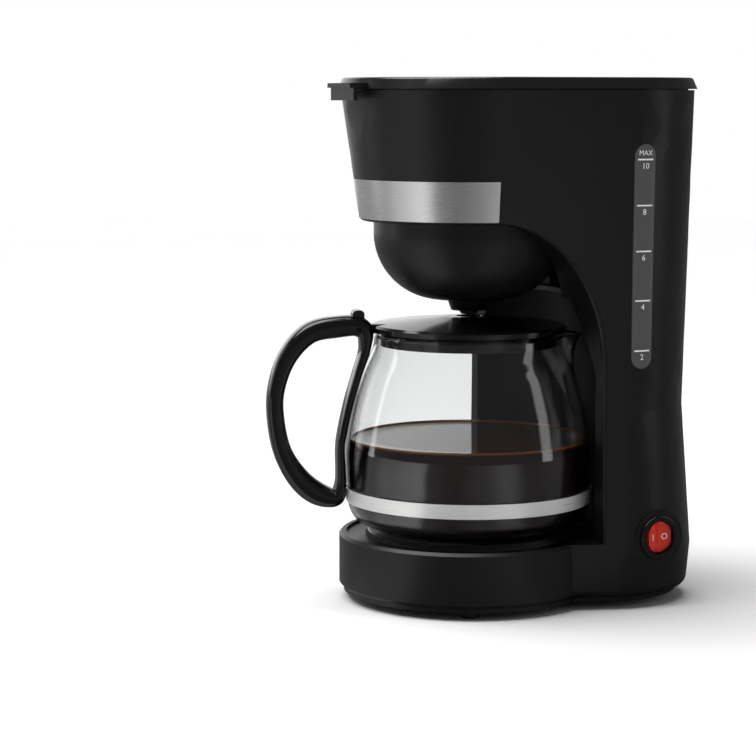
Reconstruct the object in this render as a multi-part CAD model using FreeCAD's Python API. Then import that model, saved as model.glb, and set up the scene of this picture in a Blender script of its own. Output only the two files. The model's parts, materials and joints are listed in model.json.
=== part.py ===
"""Ten-cup drip coffee maker with a glass carafe, an assembly of separate solids.

Millimetres, +Z up, the front (where the carafe comes out) faces -Y, the level window and the switch
face +X. Everything is laid out about the carafe's upright axis. At the end the whole assembly is moved
so that the origin is the middle of its footprint, on the surface that the feet stand on.
"""
import FreeCAD, Part
import math
import os

V = FreeCAD.Vector
X_AXIS = V(1, 0, 0)
Y_AXIS = V(0, 1, 0)
Z_AXIS = V(0, 0, 1)
ORIGIN = V(0, 0, 0)

# ---- levels, from the table upwards
foot_height = 4.0
cover_thickness = 2.5
base_deck_z = 36.0
waist_z = 106.0
band_bottom_z = 207.0
band_height = 21.0
head_top_z = 275.0

# ---- outline of the housing: a front arc about the carafe's axis and a back with round corners
head_front_r = 69.2
head_waist_r = 44.864
head_taper = (head_front_r - head_waist_r) / (head_top_z - waist_z)
head_half_width = 77.0
head_back_y = 116.0
waist_half_width = 74.5
waist_back_y = 112.5
flare_z = 30.0
flare_half_width = 78.0
flare_back_y = 116.8
column_front_r = 52.0
base_half_width = 76.5
base_back_y = 115.3
back_corner_r = 50.0
base_r = 70.5
wall = 2.5
gap = 0.4
front_edge_r = 3.0
bottom_edge_r = 5.0
disc_edge = 2.0

# ---- the bay that the carafe stands in
niche_r = 75.0
niche_straight_z = 125.0
niche_top_z = 165.0
niche_top_r = 58.0
column_front_y = 42.0
arch_front_y = -15.0
arch_spring_z = 130.0
arch_crown_z = 205.5

# ---- trim band
trim_thickness = 0.8
trim_half_angle = 75.0

# ---- top lid
lid_thickness = 6.0
lid_overhang = 1.6
lid_gap = 0.6
tab_length = 8.0
tab_width = 26.0
hinge_offset = 5.0
hinge_r = 3.6
hinge_pin_r = 1.5
running_fit = 0.06
knuckle_length = 10.0
knuckle_x = 14.0
knuckle_side_gap = 0.5

# ---- brew bowl, basket and drip stop
bowl_inset = 7.808
bowl_r = head_front_r - (head_top_z - band_bottom_z) * head_taper - bowl_inset
bowl_bottom_z = 163.0
bowl_flat_r = 16.0
bowl_wall = 2.2
bowl_rim_z = head_top_z - 17.0
basket_gap = 1.2
basket_wall = 1.6
basket_bottom_z = 178.0
basket_bottom_r = 26.0
basket_hole_r = 3.0
basket_rim_z = bowl_rim_z - 3.0
bail_r = 1.4
mesh_gap = 0.5
mesh_wall = 0.7
valve_cup_r = 12.0
valve_cup_tip_r = 9.6
valve_cup_height = 6.0
valve_cup_bore_r = 8.4
valve_hole_r = 3.4
valve_rod_r = 2.3
valve_tip_r = 5.0
valve_tip_z = 154.7
valve_lift = 5.8
seal_r = 6.5
spring_r = 5.3
spring_wire_r = 0.4
spring_turns = 3.0

# ---- water path
tank_front_y = 58.0
tank_wall = 2.0
tank_bottom_z = 114.0
tank_top_z = head_top_z - 13.0
channel_half_width = 11.0
channel_back_y = 96.0
riser_x = 0.0
riser_y = 87.0
tube_r = 5.0
tube_bore_r = 3.4

# ---- level window
window_y = 62.0
window_low_z = 129.0
window_high_z = 247.0
window_width = 12.0
window_depth = 2.2
window_proud = 0.5
tick_levels = (138.5, 165.0, 191.0, 215.0, 239.0)

# ---- switch
switch_y = 73.0
switch_z = 38.0
bezel_r = 12.0
switch_pad_r = 15.0
switch_face_x = 77.6
bezel_height = 1.6
bezel_bore_r = 8.9
rocker_r = 8.3
rocker_tilt = 7.0
switch_body_r = 10.2
switch_body_depth = 20.0

# ---- hot plate and heater
plate_r = 55.0
plate_top_z = 37.5
plate_thickness = 2.0
plate_seal_width = 2.5
deck_recess = 1.5
deck_recess_r = 66.5
element_r = 36.0
element_tube_r = 5.5
element_gap_angle = 70.0

# ---- feet and screws
foot_r = 5.2
front_foot = (51.0, -28.0)
rear_foot = (49.0, 91.0)
screw_r = 1.6
screw_head_r = 3.0
boss_r = 4.0
boss_rib = 1.2
screw_places = ((34.0, -46.0), (64.0, 54.0))

# ---- carafe
glass_wall = 2.0
glass_bottom_z = plate_top_z + 0.5
carafe_turn = 20.0
spout_r = 12.0
spout_reach = 63.5
steel_band_low_z = 53.4
steel_band_height = 7.8
steel_band_thickness = 0.6
neck_r = 51.0
neck_z = 144.0
carafe_lid_r = 53.0
carafe_lid_top_z = 153.7
handle_width = 17.0
handle_reach = 110.0
handle_leg = 4.6
lid_pin_u = 61.0
lid_pin_z = 147.5
lid_pin_r = 1.5
lid_ear_width = 4.0

parts = {}


def ring_band(outer_r, inner_r, low_z, height, x=0.0, y=0.0):
    """A flat ring, or a disc when inner_r is 0."""
    disc = Part.makeCylinder(outer_r, height, V(x, y, low_z))
    if inner_r > 0:
        disc = disc.cut(Part.makeCylinder(inner_r, height, V(x, y, low_z)))
    return disc


def turned(points, angle=360.0):
    """A solid of revolution about Z from (radius, z) points in order."""
    corners = [V(r, 0, z) for r, z in points]
    face = Part.Face(Part.makePolygon(corners + [corners[0]]))
    return face.revolve(ORIGIN, Z_AXIS, angle)


def turned_curve(stations, close_points):
    """A solid of revolution whose outer side is a smooth curve through (radius, z) stations."""
    curve = Part.BSplineCurve()
    curve.interpolate([V(r, 0, z) for r, z in stations])
    ends = [stations[-1]] + list(close_points) + [stations[0]]
    corners = [V(r, 0, z) for r, z in ends]
    wire = Part.Wire([curve.toShape()] + [Part.makeLine(a, b) for a, b in zip(corners, corners[1:])])
    return Part.Face(wire).revolve(ORIGIN, Z_AXIS, 360)


def box(low, high):
    return Part.makeBox(high[0] - low[0], high[1] - low[1], high[2] - low[2], V(*low))


def outline(z, front_r, half_width, back_y, inset=0.0):
    """The housing's outline at one level, moved in by inset."""
    front = front_r - inset
    corner = back_corner_r - inset
    cx = half_width - back_corner_r
    cy = back_y - back_corner_r
    back = back_y - inset
    reach = math.hypot(cx, cy)
    normal = math.atan2(cy, cx) - math.acos((front - corner) / reach)
    nx = math.cos(normal)
    ny = math.sin(normal)
    mid = (normal + math.pi / 2) / 2
    right_front = V(front * nx, front * ny, z)
    right_side = V(cx + corner * nx, cy + corner * ny, z)
    right_mid = V(cx + corner * math.cos(mid), cy + corner * math.sin(mid), z)
    right_back = V(cx, back, z)

    def mirror(p):
        return V(-p.x, p.y, p.z)

    edges = [
        Part.Arc(mirror(right_front), V(0, -front, z), right_front).toShape(),
        Part.makeLine(right_front, right_side),
        Part.Arc(right_side, right_mid, right_back).toShape(),
        Part.makeLine(right_back, mirror(right_back)),
        Part.Arc(mirror(right_back), mirror(right_mid), mirror(right_side)).toShape(),
        Part.makeLine(mirror(right_side), mirror(right_front)),
    ]
    return Part.Wire(edges)


def head_section(z, inset=0.0):
    """Outline of the head and upper column at a level between the waist and the top."""
    share = (z - waist_z) / (head_top_z - waist_z)
    front_r = head_front_r - (head_top_z - z) * head_taper
    half_width = waist_half_width + share * (head_half_width - waist_half_width)
    back_y = waist_back_y + share * (head_back_y - waist_back_y)
    return outline(z, front_r, half_width, back_y, inset)


def head_block(low_z, high_z, inset=0.0):
    return Part.makeLoft([head_section(low_z, inset), head_section(high_z, inset)], True, True)


def foot_block(low_z, high_z, inset=0.0):
    """Lower column: narrow at the waist, widest at flare_z, drawn in again at the bottom."""
    waist_front_r = head_front_r - (head_top_z - waist_z) * head_taper
    bottom = outline(low_z, column_front_r - 1.5, base_half_width, base_back_y, inset)
    widest = outline(flare_z, column_front_r, flare_half_width, flare_back_y, inset)
    top = outline(high_z, waist_front_r, waist_half_width, waist_back_y, inset)
    lower = Part.makeLoft([bottom, widest], True, True)
    upper = Part.makeLoft([widest, top], True, True)
    return lower.fuse(upper).removeSplitter()


def carafe_bay(low_z, grow=0.0):
    """The space for the carafe: everything in front of an arched profile, and a round niche behind."""
    wide = 100.0
    far = -100.0
    depth = column_front_y - arch_front_y + grow
    rise = arch_crown_z - arch_spring_z + grow
    front = column_front_y + grow
    crown = arch_crown_z + grow
    curve = Part.BSplineCurve()
    turns = [math.radians(90 * k / 8) for k in range(9)]
    curve.interpolate([V(-wide, arch_front_y + depth * math.cos(t),
            arch_spring_z + rise * math.sin(t)) for t in turns])
    arc = curve.toShape()
    corners = [V(-wide, arch_front_y, crown), V(-wide, far, crown), V(-wide, far, low_z),
               V(-wide, front, low_z), V(-wide, front, arch_spring_z)]
    lines = [Part.makeLine(a, b) for a, b in zip(corners, corners[1:])]
    wire = Part.Wire([arc] + lines)
    arch = Part.Face(wire).extrude(V(2 * wide, 0, 0))
    niche = turned([(0, low_z), (niche_r + grow, low_z), (niche_r + grow, niche_straight_z + grow),
                    (niche_top_r + grow, niche_top_z + grow), (0, niche_top_z + grow)])
    return arch.fuse(niche)


def capsule_face(y, low_z, high_z, width, x):
    """An upright slot outline with round ends, on the plane at x."""
    r = width / 2
    low = low_z + r
    high = high_z - r
    edges = [
        Part.makeLine(V(x, y - r, low), V(x, y - r, high)),
        Part.Arc(V(x, y - r, high), V(x, y, high_z), V(x, y + r, high)).toShape(),
        Part.makeLine(V(x, y + r, high), V(x, y + r, low)),
        Part.Arc(V(x, y + r, low), V(x, y, low_z), V(x, y - r, low)).toShape(),
    ]
    return Part.Face(Part.Wire(edges))


def x_rod(r, length, x, y, z):
    """A rod along X that starts at x."""
    return Part.makeCylinder(r, length, V(x, y, z), X_AXIS)


def tube_path(points, bend_r):
    """A wire of straight runs with a round bend of bend_r at each inner point."""
    edges = []
    start = V(*points[0])
    for here, after in zip(points[1:], points[2:]):
        corner = V(*here)
        into = (corner - start).normalize()
        out = (V(*after) - corner).normalize()
        half_turn = into.getAngle(out) / 2
        setback = bend_r * math.tan(half_turn)
        first = corner - into * setback
        last = corner + out * setback
        inward = (out - into).normalize()
        middle = corner + inward * (bend_r / math.cos(half_turn) - bend_r)
        edges.append(Part.makeLine(start, first))
        edges.append(Part.Arc(first, middle, last).toShape())
        start = last
    edges.append(Part.makeLine(start, V(*points[-1])))
    return Part.Wire(edges)


def tube(points, bend_r, outer_r, bore_r):
    """A hollow tube along a bent path."""
    path = tube_path(points, bend_r)
    start = V(*points[0])
    heading = V(*points[1]) - start
    shells = []
    for r in (outer_r, bore_r):
        ring = Part.Wire([Part.makeCircle(r, start, heading)])
        shells.append(path.makePipeShell([ring], True, False))
    return shells[0].cut(shells[1])


# ---- housings
base_low_z = foot_height + cover_thickness
half_screws = [(sx * x, y) for x, y in screw_places for sx in (-1, 1)]


def bay_edges(block, low_z, high_z):
    """Upright and arched edges where the housing's sides end at the carafe bay."""
    found = []
    for edge in block.Edges:
        bound = edge.BoundBox
        beside = abs(edge.CenterOfMass.x) > niche_top_r + 4.0 and bound.XLength < 20
        in_front = bound.YMax < column_front_y + 0.1 and bound.YMin > arch_front_y
        at_height = bound.ZMin > low_z - 0.1 and bound.ZMax < min(high_z, arch_crown_z) + 0.1
        outer = abs(edge.CenterOfMass.x) > niche_r * 0.9 or abs(edge.CenterOfMass.y - column_front_y) > 1.0
        if beside and in_front and at_height and outer and bound.ZLength > 5:
            found.append(edge)
    return found


def lower_housing():
    column = foot_block(base_low_z, waist_z).cut(carafe_bay(base_deck_z)).removeSplitter()
    edges = bay_edges(column, base_deck_z, waist_z)
    column = column.makeFillet(front_edge_r, edges)
    under = [e for e in column.Edges if e.BoundBox.ZMax < base_low_z + 0.01]
    column = column.makeFillet(bottom_edge_r, under)
    disc = ring_band(base_r, 0, base_low_z, base_deck_z - base_low_z)
    rim = [e for e in disc.Edges if abs(e.BoundBox.ZMin - base_deck_z) < 0.01 and e.BoundBox.XLength > base_r]
    disc = disc.makeChamfer(1.6, rim)
    rim = [e for e in disc.Edges if e.BoundBox.ZMax < base_low_z + 0.01 and e.BoundBox.XLength > base_r]
    disc = disc.makeChamfer(disc_edge, rim)
    shell = column.fuse(disc).removeSplitter()
    inner_low = base_low_z + bottom_edge_r
    inner_column = foot_block(inner_low, waist_z, wall).cut(carafe_bay(base_deck_z - wall, wall))
    mouth = outline(base_low_z, column_front_r - 1.5, base_half_width, base_back_y, wall + bottom_edge_r)
    mouth = Part.Face(mouth).extrude(V(0, 0, bottom_edge_r + 0.1))
    inner_disc = ring_band(base_r - wall - disc_edge, 0, base_low_z,
            base_deck_z - deck_recess - wall - base_low_z)
    shell = shell.cut(inner_column.fuse(mouth).fuse(inner_disc))
    shell = shell.cut(ring_band(deck_recess_r, 0, base_deck_z - deck_recess, deck_recess))
    shell = shell.cut(ring_band(plate_r - plate_seal_width, 0, base_low_z, base_deck_z))
    shell = shell.fuse(x_rod(switch_pad_r, 10, switch_face_x - 10, switch_y, switch_z))
    shell = shell.cut(x_rod(switch_pad_r, 5, switch_face_x, switch_y, switch_z))
    shell = shell.cut(x_rod(switch_body_r + gap, 30, switch_face_x - 25, switch_y, switch_z))
    shell = shell.cut(Part.makeCylinder(6.0 + gap, 20, V(-40, base_back_y - 10, 24), Y_AXIS))
    inside = foot_block(inner_low, waist_z, 0.5)
    boss_height = base_deck_z - deck_recess - 0.5 - base_low_z
    for x, y in half_screws:
        boss = Part.makeCylinder(boss_r, boss_height, V(x, y, base_low_z))
        if y > column_front_y:
            side = math.copysign(1, x)
            low_x = min(x, x + side * 14)
            rib = box((low_x, y - boss_rib, base_low_z), (low_x + 14, y + boss_rib, base_low_z + boss_height))
            boss = boss.fuse(rib.common(inside))
        shell = shell.fuse(boss)
        shell = shell.cut(Part.makeCylinder(screw_r, 14, V(x, y, base_low_z)))
    return shell.removeSplitter()


def bottom_cover():
    inset = bottom_edge_r + 0.5
    widened = outline(foot_height, column_front_r - 1.5, base_half_width, base_back_y, inset)
    plate = Part.Face(widened).extrude(V(0, 0, cover_thickness))
    plate = plate.fuse(ring_band(base_r - disc_edge - 0.5, 0, foot_height, cover_thickness)).removeSplitter()
    for x, y in half_screws:
        plate = plate.cut(Part.makeCylinder(screw_r + 0.2, cover_thickness, V(x, y, foot_height)))
        plate = plate.cut(Part.makeCylinder(screw_head_r + 0.2, 1.4, V(x, y, foot_height)))
    return plate


def rubber_feet():
    feet = []
    for x, y in (front_foot, rear_foot):
        for side in (-1, 1):
            foot = Part.makeCylinder(foot_r, foot_height, V(side * x, y, 0))
            low = [e for e in foot.Edges if e.BoundBox.ZMax < 0.01]
            feet.append(foot.makeFillet(1.5, low))
    return Part.makeCompound(feet)


def bottom_screws():
    screws = []
    for x, y in half_screws:
        head = Part.makeCylinder(screw_head_r, 1.2, V(x, y, foot_height + 0.2))
        shank = Part.makeCylinder(screw_r - 0.15, 12, V(x, y, foot_height + 1.2))
        slot = box((x - screw_head_r, y - 0.4, foot_height), (x + screw_head_r, y + 0.4, foot_height + 0.7))
        screws.append(head.fuse(shank).cut(slot))
    return Part.makeCompound(screws)


def upper_housing():
    shell = head_block(waist_z, head_top_z).cut(carafe_bay(waist_z - 1)).removeSplitter()
    shell = shell.makeFillet(front_edge_r, bay_edges(shell, waist_z, head_top_z))
    room = head_block(waist_z, head_top_z, wall).cut(carafe_bay(waist_z - 1, wall))
    floor = head_block(band_bottom_z - wall, band_bottom_z + wall, 0)
    room = room.cut(floor.cut(box((-200, column_front_y - 2, 0), (200, 300, 400))))
    shell = shell.cut(room)
    shell = shell.cut(ring_band(bowl_r + gap, 0, bowl_bottom_z, band_bottom_z + 3 * wall - bowl_bottom_z))
    window = capsule_face(window_y, window_low_z, window_high_z, window_width + 2 * gap, 60)
    shell = shell.cut(window.extrude(V(40, 0, 0)))
    groove = trim_ring(trim_thickness + gap, band_height + 2 * gap, trim_half_angle + 0.4, gap)
    shell = shell.cut(groove)
    axis_y = head_back_y + hinge_offset
    axis_z = head_top_z + 1.0
    for side in (-1, 1):
        x = side * knuckle_x - knuckle_length / 2
        barrel = x_rod(hinge_r, knuckle_length, x, axis_y, axis_z)
        arm = box((x, head_back_y - 1.5, head_top_z - 14), (x + knuckle_length, axis_y, axis_z - 1.0))
        toe = box((x, axis_y - hinge_r, head_top_z - 14), (x + knuckle_length, axis_y + hinge_r, axis_z - 1))
        bracket = barrel.fuse(arm).fuse(toe)
        shell = shell.fuse(bracket)
        shell = shell.cut(x_rod(hinge_pin_r, knuckle_length, x, axis_y, axis_z))
    return shell.removeSplitter()


def trim_ring(thickness, height, half_angle, lower=0.0):
    """A sector of a cone that follows the head's front, thickness deep from its face."""
    low = band_bottom_z - lower
    high = low + height
    low_r = head_front_r - (head_top_z - low) * head_taper + 0.05
    high_r = head_front_r - (head_top_z - high) * head_taper + 0.05
    ring = turned([(low_r - thickness, low), (low_r, low), (high_r, high), (high_r - thickness, high)],
                  2 * half_angle)
    ring.rotate(ORIGIN, Z_AXIS, -90 - half_angle)
    return ring


def top_lid():
    rim = outline(head_top_z + lid_gap, head_front_r, head_half_width, head_back_y, -lid_overhang)
    crown = outline(head_top_z + lid_gap + lid_thickness, head_front_r, head_half_width, head_back_y, 1.0)
    lid = Part.makeLoft([rim, crown], True, True)
    top = [e for e in lid.Edges if e.BoundBox.ZMin > head_top_z + lid_gap + lid_thickness - 0.1]
    lid = lid.makeFillet(1.8, top)
    low = head_top_z + lid_gap
    tab_front = -(head_front_r + lid_overhang + tab_length)
    tab = box((-tab_width / 2, tab_front, low + 0.5), (tab_width / 2, -head_front_r + 6, low + 3.0))
    lip = box((-tab_width / 2, tab_front + 2, low - 6), (tab_width / 2, tab_front + 4.5, low + 1))
    lid = lid.fuse(tab).fuse(lip)
    lower = outline(low, head_front_r, head_half_width, head_back_y, wall + 2)
    hollow = Part.Face(lower).extrude(V(0, 0, lid_thickness - 2.2))
    lid = lid.cut(hollow)
    axis_y = head_back_y + hinge_offset
    axis_z = head_top_z + 1.0
    inner = knuckle_x - knuckle_length / 2 - knuckle_side_gap
    barrel = x_rod(hinge_r, 2 * inner, -inner, axis_y, axis_z)
    bridge = box((-inner, head_back_y - 1, low), (inner, axis_y, axis_z + hinge_r - 0.4))
    lid = lid.fuse(barrel).fuse(bridge)
    lid = lid.cut(x_rod(hinge_pin_r + running_fit, 2 * inner, -inner, axis_y, axis_z))
    for side in (-1, 1):
        x = side * knuckle_x - knuckle_length / 2 - knuckle_side_gap
        wide = knuckle_length + 2 * knuckle_side_gap
        lid = lid.cut(x_rod(hinge_r + 0.6, wide, x, axis_y, axis_z))
    return lid.removeSplitter()


def lid_hinge_pins():
    pins = []
    axis_y = head_back_y + hinge_offset
    for side in (-1, 1):
        x = side * (knuckle_x - knuckle_length / 2 - knuckle_side_gap - 6)
        x = x if side > 0 else -(knuckle_x + knuckle_length / 2)
        length = knuckle_length + knuckle_side_gap + 6
        pins.append(x_rod(hinge_pin_r, length, x, axis_y, head_top_z + 1.0))
    return Part.makeCompound(pins)


def shower_channel():
    """Tray under the lid that takes hot water from the riser to the middle of the basket."""
    top = head_top_z + lid_gap + lid_thickness - 2.2
    low = tank_top_z + 3.0
    rear = riser_y - 1
    tray = box((-9, 0, low), (9, rear, top)).fuse(ring_band(26.0, 0, low, top - low))
    room = box((-7, 0, low + 2), (7, rear - 2, top)).fuse(ring_band(24.0, 0, low + 2, top - low - 2))
    tray = tray.cut(room)
    tray = tray.cut(box((-6, rear - 12, low), (6, rear - 2, low + 2)))
    for radius, count in ((8.0, 6), (17.0, 12)):
        for k in range(count):
            turn = 2 * math.pi * k / count
            hole = Part.makeCylinder(1.2, 3, V(radius * math.cos(turn), radius * math.sin(turn), low - 0.5))
            tray = tray.cut(hole)
    return tray


# ---- brewing parts
bowl_inner_r = bowl_r - bowl_wall
floor_top_z = band_bottom_z + wall
bowl_floor_z = bowl_bottom_z + bowl_wall


def bowl_curve(inset):
    """Outer stations of the bowl below the head, from its flat bottom up to the straight wall."""
    rise = band_bottom_z - 8 - bowl_bottom_z
    spread = bowl_r - bowl_flat_r
    stations = []
    for step in range(7):
        turn = math.radians(15 * step)
        stations.append((bowl_flat_r + spread * math.sin(turn) - inset * math.sin(turn),
                         bowl_bottom_z + inset + (rise - inset) * (1 - math.cos(turn))))
    return stations


def brew_bowl():
    outer = turned_curve(bowl_curve(0), [(bowl_r, bowl_rim_z), (0, bowl_rim_z), (0, bowl_bottom_z)])
    inner = turned_curve(bowl_curve(bowl_wall), [(bowl_inner_r, bowl_rim_z), (0, bowl_rim_z), (0,
            bowl_floor_z)])
    bowl = outer.cut(inner)
    flange = ring_band(bowl_r + 4, bowl_r - 0.5, floor_top_z, 2)
    tip_z = bowl_bottom_z - valve_cup_height
    cup = turned([(0, tip_z), (valve_cup_tip_r, tip_z), (valve_cup_r, bowl_bottom_z + 0.6), (0,
            bowl_bottom_z + 0.6)])
    cup = cup.cut(ring_band(valve_cup_bore_r, 0, tip_z - 1, valve_cup_height + 1))
    bowl = bowl.fuse(flange).fuse(cup)
    bowl = bowl.cut(ring_band(valve_hole_r, 0, tip_z, 20))
    return bowl.removeSplitter()


basket_top_r = bowl_inner_r - basket_gap


def cone_shell(low_z, low_r, high_z, high_r, thickness):
    return turned([(0, low_z), (low_r, low_z), (high_r, high_z), (high_r - thickness, high_z),
                   (low_r - thickness, low_z + thickness), (0, low_z + thickness)])


def filter_basket():
    cup = cone_shell(basket_bottom_z, basket_bottom_r, basket_rim_z, basket_top_r - 2, basket_wall)
    rim = ring_band(basket_top_r, basket_top_r - 3, basket_rim_z - 1.5, 1.5)
    cup = cup.fuse(rim)
    cup = cup.cut(ring_band(basket_hole_r, 0, basket_bottom_z - 1, 4))
    for k in range(8):
        rib = box((10, -0.6, basket_bottom_z + basket_wall - 0.2), (basket_bottom_r - 3, 0.6,
                basket_bottom_z + 3))
        rib.rotate(ORIGIN, Z_AXIS, 45 * k)
        cup = cup.fuse(rib)
    return cup.removeSplitter()


def mesh_filter():
    shift = basket_wall + mesh_gap
    low = basket_bottom_z + 3 + mesh_gap
    slope = (basket_top_r - 2 - basket_bottom_r) / (basket_rim_z - basket_bottom_z)
    low_r = basket_bottom_r + slope * (low - basket_bottom_z) - shift
    high = basket_rim_z - 3
    high_r = basket_bottom_r + slope * (high - basket_bottom_z) - shift
    return cone_shell(low, low_r, high, high_r, mesh_wall)


def basket_handle():
    """Wire bail that lies folded round the front of the basket's rim."""
    reach = basket_top_r - bail_r
    ring = Part.Face(Part.Wire([Part.makeCircle(bail_r, V(reach, 0, basket_rim_z + bail_r), Y_AXIS)]))
    return ring.revolve(V(0, 0, basket_rim_z), Z_AXIS, -180)


def valve_plunger():
    collar_z = valve_tip_z + 2.6
    top_z = bowl_floor_z + valve_lift
    return turned([(0, valve_tip_z), (valve_tip_r - 1.2, valve_tip_z), (valve_tip_r, valve_tip_z + 1),
                   (valve_tip_r, collar_z), (7.6, collar_z), (7.6, collar_z + 1.4),
                   (valve_rod_r, collar_z + 1.4), (valve_rod_r, top_z), (seal_r, top_z + 1.6),
                   (seal_r, top_z + 3.2), (0, top_z + 3.2)])


def valve_seal():
    top_z = bowl_floor_z + valve_lift
    return turned([(valve_rod_r, top_z - 1.2), (seal_r, top_z - 1.2), (seal_r, top_z + 1.6),
                   (valve_rod_r, top_z)])


def valve_spring():
    low = valve_tip_z + 4.0 + spring_wire_r + 0.02
    high = bowl_bottom_z - spring_wire_r - 0.02
    helix = Part.makeHelix((high - low) / spring_turns, high - low, spring_r)
    helix.translate(V(0, 0, low))
    ring = Part.Wire([Part.makeCircle(spring_wire_r, V(spring_r, 0, low), Y_AXIS)])
    return Part.Wire(helix).makePipeShell([ring], True, False)


# ---- water tank and its tubes
def tank_block(inset):
    """The tank's outer form, or its inside when inset is the wall."""
    grow = wall + gap + inset
    low = tank_bottom_z + inset
    form = head_block(waist_z, head_top_z, grow).common(box((-200, tank_front_y + inset, low),
                                                            (200, 300, tank_top_z)))
    form = form.cut(carafe_bay(waist_z - 1, grow))
    half = channel_half_width + inset
    form = form.cut(box((-half, 0, low - 1), (half, channel_back_y + inset, tank_top_z + 1)))
    return form


outlet_x = 45.0
outlet_y = 90.0


def water_tank():
    tank = tank_block(0).cut(tank_block(tank_wall))
    spout = Part.makeCylinder(tube_r - 0.2, 10, V(outlet_x, outlet_y, tank_bottom_z - 8))
    tank = tank.fuse(spout)
    return tank.cut(Part.makeCylinder(tube_bore_r, 20, V(outlet_x, outlet_y, tank_bottom_z - 10)))


hose_wall = 1.6
clamp_wall = 1.0
element_z = base_deck_z - deck_recess - wall - element_tube_r - hose_wall - clamp_wall - gap
element_turn = math.radians(90 - element_gap_angle / 2)
element_end_x = element_r * math.cos(element_turn)
element_end_y = element_r * math.sin(element_turn)
element_port_y = 68.0


def heating_element():
    ring = Part.makeTorus(element_r, element_tube_r, V(0, 0, element_z), Z_AXIS, -180, 180,
            360 - element_gap_angle)
    ring.rotate(V(0, 0, element_z), Z_AXIS, 90 + element_gap_angle / 2)
    for side in (-1, 1):
        leg = Part.makeCylinder(element_tube_r, element_port_y - element_end_y,
                                V(side * element_end_x, element_end_y - 0.5, element_z), Y_AXIS)
        ring = ring.fuse(leg)
    return ring.removeSplitter()


def element_clamp():
    plate = box((-12, -element_r - 14, element_z - element_tube_r - 2), (12, element_r + 14,
            element_z - element_tube_r))
    plate = plate.cut(ring_band(4, 0, 0, 60))
    return plate


def thermostat():
    top = plate_top_z - plate_thickness
    body = ring_band(9, 0, top - 6, 6)
    cap = ring_band(11, 0, top - 1.2, 1.2)
    legs = [box((x - 2, -0.5, top - 10), (x + 2, 0.5, top - 5)) for x in (-5, 5)]
    return body.fuse(cap).fuse(legs[0]).fuse(legs[1])


def thermal_fuses():
    fuses = []
    for side in (-1, 1):
        fuse = Part.makeCylinder(2.5, 16, V(side * 20, -8, plate_top_z - plate_thickness - 3.0), Y_AXIS)
        fuses.append(fuse)
    return Part.makeCompound(fuses)


port_x = element_end_x
hose_bend = 9.0


def check_valve():
    low = tank_bottom_z - 8 - 22
    body = Part.makeCylinder(tube_r + 2.5, 12, V(outlet_x, outlet_y, low))
    tail = Part.makeCylinder(tube_r - 0.2, 7, V(outlet_x, outlet_y, low - 7))
    nose = Part.makeCylinder(tube_r - 0.2, 5, V(outlet_x, outlet_y, low + 12))
    valve = body.fuse(tail).fuse(nose)
    return valve.cut(Part.makeCylinder(tube_bore_r, 30, V(outlet_x, outlet_y, low - 8)))


def tank_hose():
    low = tank_bottom_z - 8 - 22 + 12.2
    outer = Part.makeCylinder(tube_r + 1.6, tank_bottom_z - 0.2 - low, V(outlet_x, outlet_y, low))
    return outer.cut(Part.makeCylinder(tube_r - 0.2, 40, V(outlet_x, outlet_y, low - 1)))


def inlet_hose():
    """From the check valve down to the heater's right port."""
    start = tank_bottom_z - 8 - 22 - 0.2
    route = [(outlet_x, outlet_y, start), (outlet_x, outlet_y, element_z + 22), (port_x, outlet_y, element_z),
             (port_x, element_port_y - 8, element_z)]
    return tube(route, hose_bend, element_tube_r + hose_wall, element_tube_r + 0.05)


def riser_tube():
    """From the heater's left port up behind the niche to the shower channel."""
    top_z = tank_top_z - 6
    route = [(-port_x, element_port_y - 8, element_z), (-port_x, riser_y, element_z),
             (riser_x, riser_y, element_z + 40), (riser_x, riser_y, top_z)]
    return tube(route, hose_bend, element_tube_r + hose_wall, element_tube_r + 0.05)


def riser_nozzle():
    top_z = tank_top_z - 6
    rod = Part.makeCylinder(element_tube_r, 12, V(riser_x, riser_y, top_z - 8))
    return rod.cut(Part.makeCylinder(tube_bore_r, 14, V(riser_x, riser_y, top_z - 9)))


def hose_clamps():
    clamps = []
    outer = element_tube_r + hose_wall
    for side in (-1, 1):
        ring = Part.makeCylinder(outer + clamp_wall, 5, V(side * port_x, element_port_y - 7, element_z),
                Y_AXIS)
        bore = Part.makeCylinder(outer + 0.02, 6, V(side * port_x, element_port_y - 7.5, element_z), Y_AXIS)
        clamps.append(ring.cut(bore))
    return Part.makeCompound(clamps)


# ---- window, switch and cord inlet
def level_window():
    slot = capsule_face(window_y, window_low_z, window_high_z, window_width, 60)
    column = slot.extrude(V(40, 0, 0))
    skin = head_block(waist_z, head_top_z, -window_proud).cut(head_block(waist_z, head_top_z, window_depth))
    return column.common(skin)


def level_marks():
    """Raised level lines on the window."""
    marks = []
    low = -window_proud
    skin = head_block(waist_z, head_top_z, low - 0.15).cut(head_block(waist_z, head_top_z, low))
    for z in tick_levels:
        bar = box((60, window_y - window_width / 2 + 1.5, z - 0.4), (100,
                window_y + window_width / 2 - 1.5, z + 0.4))
        marks.append(bar.common(skin))
    return Part.makeCompound(marks)


def switch_bezel():
    ring = x_rod(bezel_r, bezel_height, switch_face_x, switch_y, switch_z)
    edge = [e for e in ring.Edges if e.BoundBox.XMin > switch_face_x + bezel_height - 0.01]
    ring = ring.makeFillet(0.9, edge)
    return ring.cut(x_rod(bezel_bore_r, 4, switch_face_x - 1, switch_y, switch_z))


def switch_body():
    depth = switch_body_depth
    body = x_rod(switch_body_r, depth, switch_face_x - depth, switch_y, switch_z)
    return body.cut(x_rod(bezel_bore_r, depth - 3, switch_face_x - depth + 3, switch_y, switch_z))


rocker_pivot_x = switch_face_x - 5.0


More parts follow.
